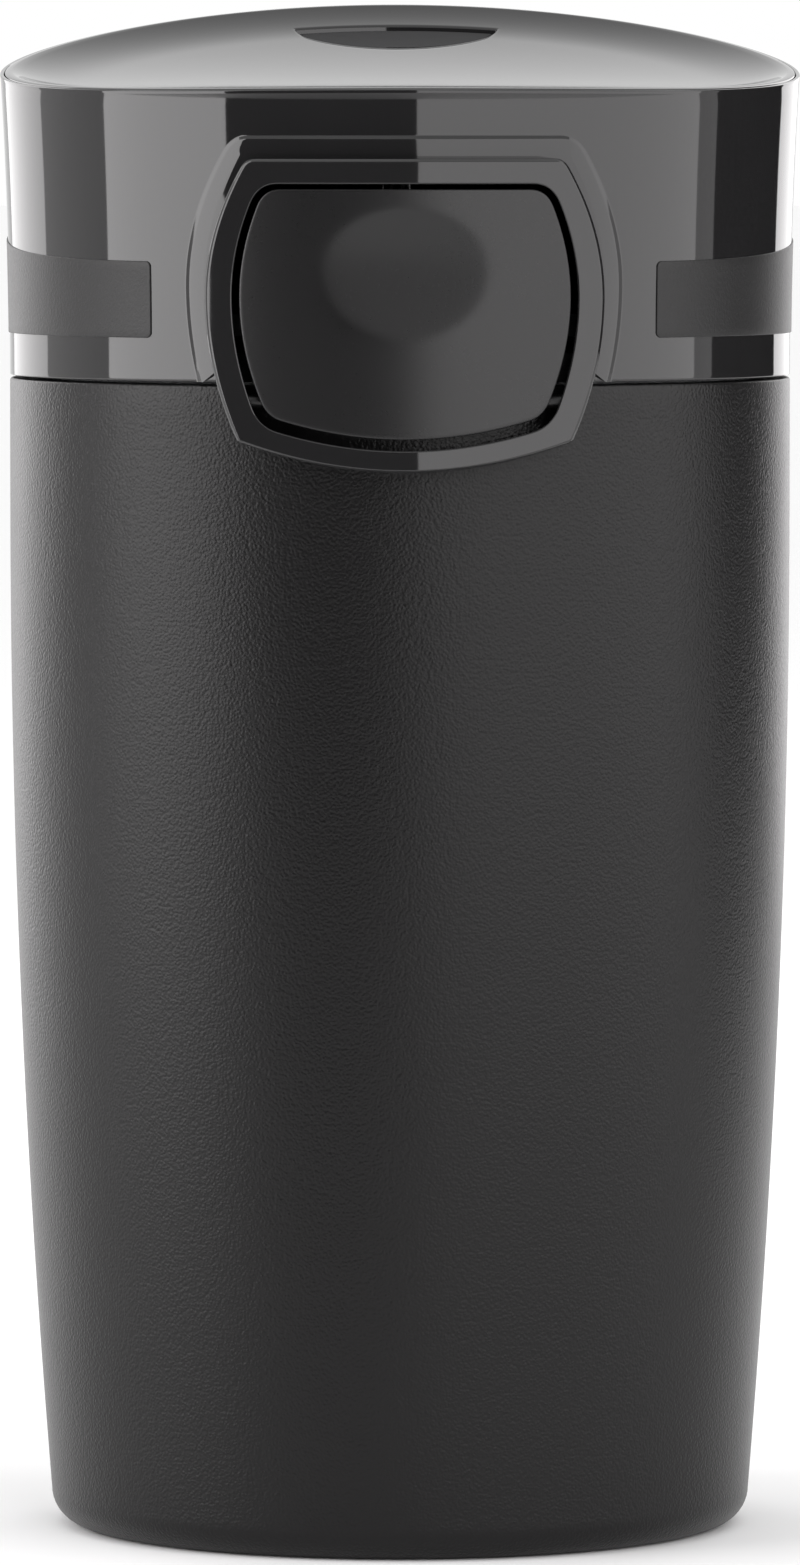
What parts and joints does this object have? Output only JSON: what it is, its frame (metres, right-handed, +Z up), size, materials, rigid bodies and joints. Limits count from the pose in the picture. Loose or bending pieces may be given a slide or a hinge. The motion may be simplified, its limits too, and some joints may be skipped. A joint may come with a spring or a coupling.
{
  "type": "insulated tumbler",
  "caption": "Double-walled steel travel tumbler with a screw-on lid whose sprung push button opens a drinking valve.",
  "frame": {"origin": "centre of the foot's flat face, on the axis of the body", "axes": "+Z up along the axis; the push button faces -Y, and the drinking opening is towards +Y"},
  "size_m": [0.075, 0.0777, 0.1431],
  "materials": {
    "coated_steel": "fine-grained powder coat, semi-gloss",
    "bare_steel": "brushed",
    "getter_alloy": "sintered",
    "silicone": "matte",
    "gloss_black": "high gloss",
    "grip_finish": "fine matte texture",
    "spring_steel": "drawn",
    "dark_plastic": "satin moulded",
    "satin_black": "satin",
    "natural_plastic": "satin moulded",
    "dark_silicone": "matte"
  },
  "bodies": {
    "vessel": {"outer_shell": "coated_steel", "inner_liner": "bare_steel", "base_cap": "bare_steel", "vacuum_plug": "bare_steel", "getter": "getter_alloy"},
    "mouth_seal": {"main_gasket": "silicone"},
    "lid": {"lid_collar": "gloss_black", "grip_band": "grip_finish", "top_cover": "gloss_black", "button_bezel": "gloss_black", "button_pins": "satin_black", "lid_insert": "dark_plastic", "mechanism_frame": "dark_plastic", "frame_screws": "spring_steel", "duct_seal": "silicone", "stem_seal": "silicone", "valve_spring": "spring_steel"},
    "push_button": {"button": "satin_black"},
    "slide_block": {"slider": "natural_plastic"},
    "valve": {"valve_stem": "natural_plastic", "valve_carriage": "dark_plastic", "drink_plug": "dark_silicone", "vent_plug": "dark_silicone"}
  },
  "joints": [
    {"name": "lid_lift", "type": "slide", "parent": "vessel", "child": "mouth_seal", "axis": [0, 0, 1], "range_m": [0, 0.0241]},
    {"name": "lid_turn", "type": "hinge", "parent": "mouth_seal", "child": "lid", "pos_m": [0, 0, 0.108], "axis": [0, 0, 1], "range_deg": [0, 1728]},
    {"name": "button_press", "type": "hinge", "parent": "lid", "child": "push_button", "pos_m": [0, -0.0362, 0.1065], "axis": [-1, 0, 0], "range_deg": [0, 12]},
    {"name": "slider_push", "type": "slide", "parent": "lid", "child": "slide_block", "axis": [0, 1, 0], "range_m": [0, 0.0029]},
    {"name": "valve_drop", "type": "slide", "parent": "lid", "child": "valve", "axis": [0, 0, -1], "range_m": [0, 0.0029], "stiffness_N_per_m": 1000, "springref_m": -0.0003, "deforming": ["valve_spring"]}
  ],
  "couplings": [
    {"joint": "lid_lift", "follows": "lid_turn", "m_per_rad": 0.00079577},
    {"joint": "slider_push", "follows": "valve_drop", "ratio": 1},
    {"joint": "button_press", "follows": "valve_drop", "rad_per_m": 72.2}
  ]
}
